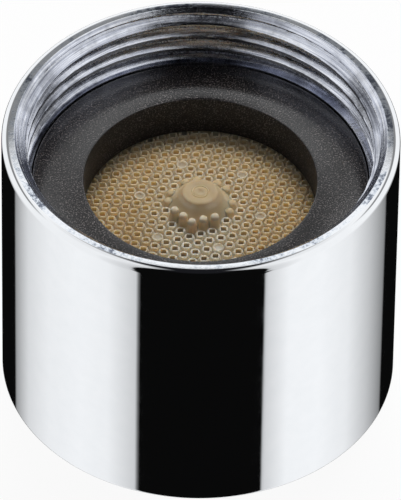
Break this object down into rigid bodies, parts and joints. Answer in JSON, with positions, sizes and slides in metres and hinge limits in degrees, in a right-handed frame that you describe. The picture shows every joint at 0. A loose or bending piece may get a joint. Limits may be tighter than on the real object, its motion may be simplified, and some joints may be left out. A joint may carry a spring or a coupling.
{
  "type": "tap aerator",
  "caption": "Short chrome sleeve with a female spout thread, a rubber washer and a domed plastic strainer over an insert that mixes air into the water.",
  "frame": {"origin": "middle of the housing's outlet face, on the axis of the spout thread", "axes": "+Z is the axis and points up through the threaded mouth, -Y is the side seen in the picture"},
  "size_m": [0.024, 0.024, 0.0191],
  "materials": {
    "chrome_brass": "polished chrome plate outside, dull turned thread inside",
    "black_rubber": "matt moulded rubber",
    "amber_plastic": "translucent moulded plastic",
    "white_plastic": "plain moulded plastic"
  },
  "bodies": {
    "root": {"housing": "chrome_brass", "sealing_washer": "black_rubber", "strainer_dome": "amber_plastic", "jet_plate": "white_plastic", "insert_body": "white_plastic"}
  },
  "joints": []
}
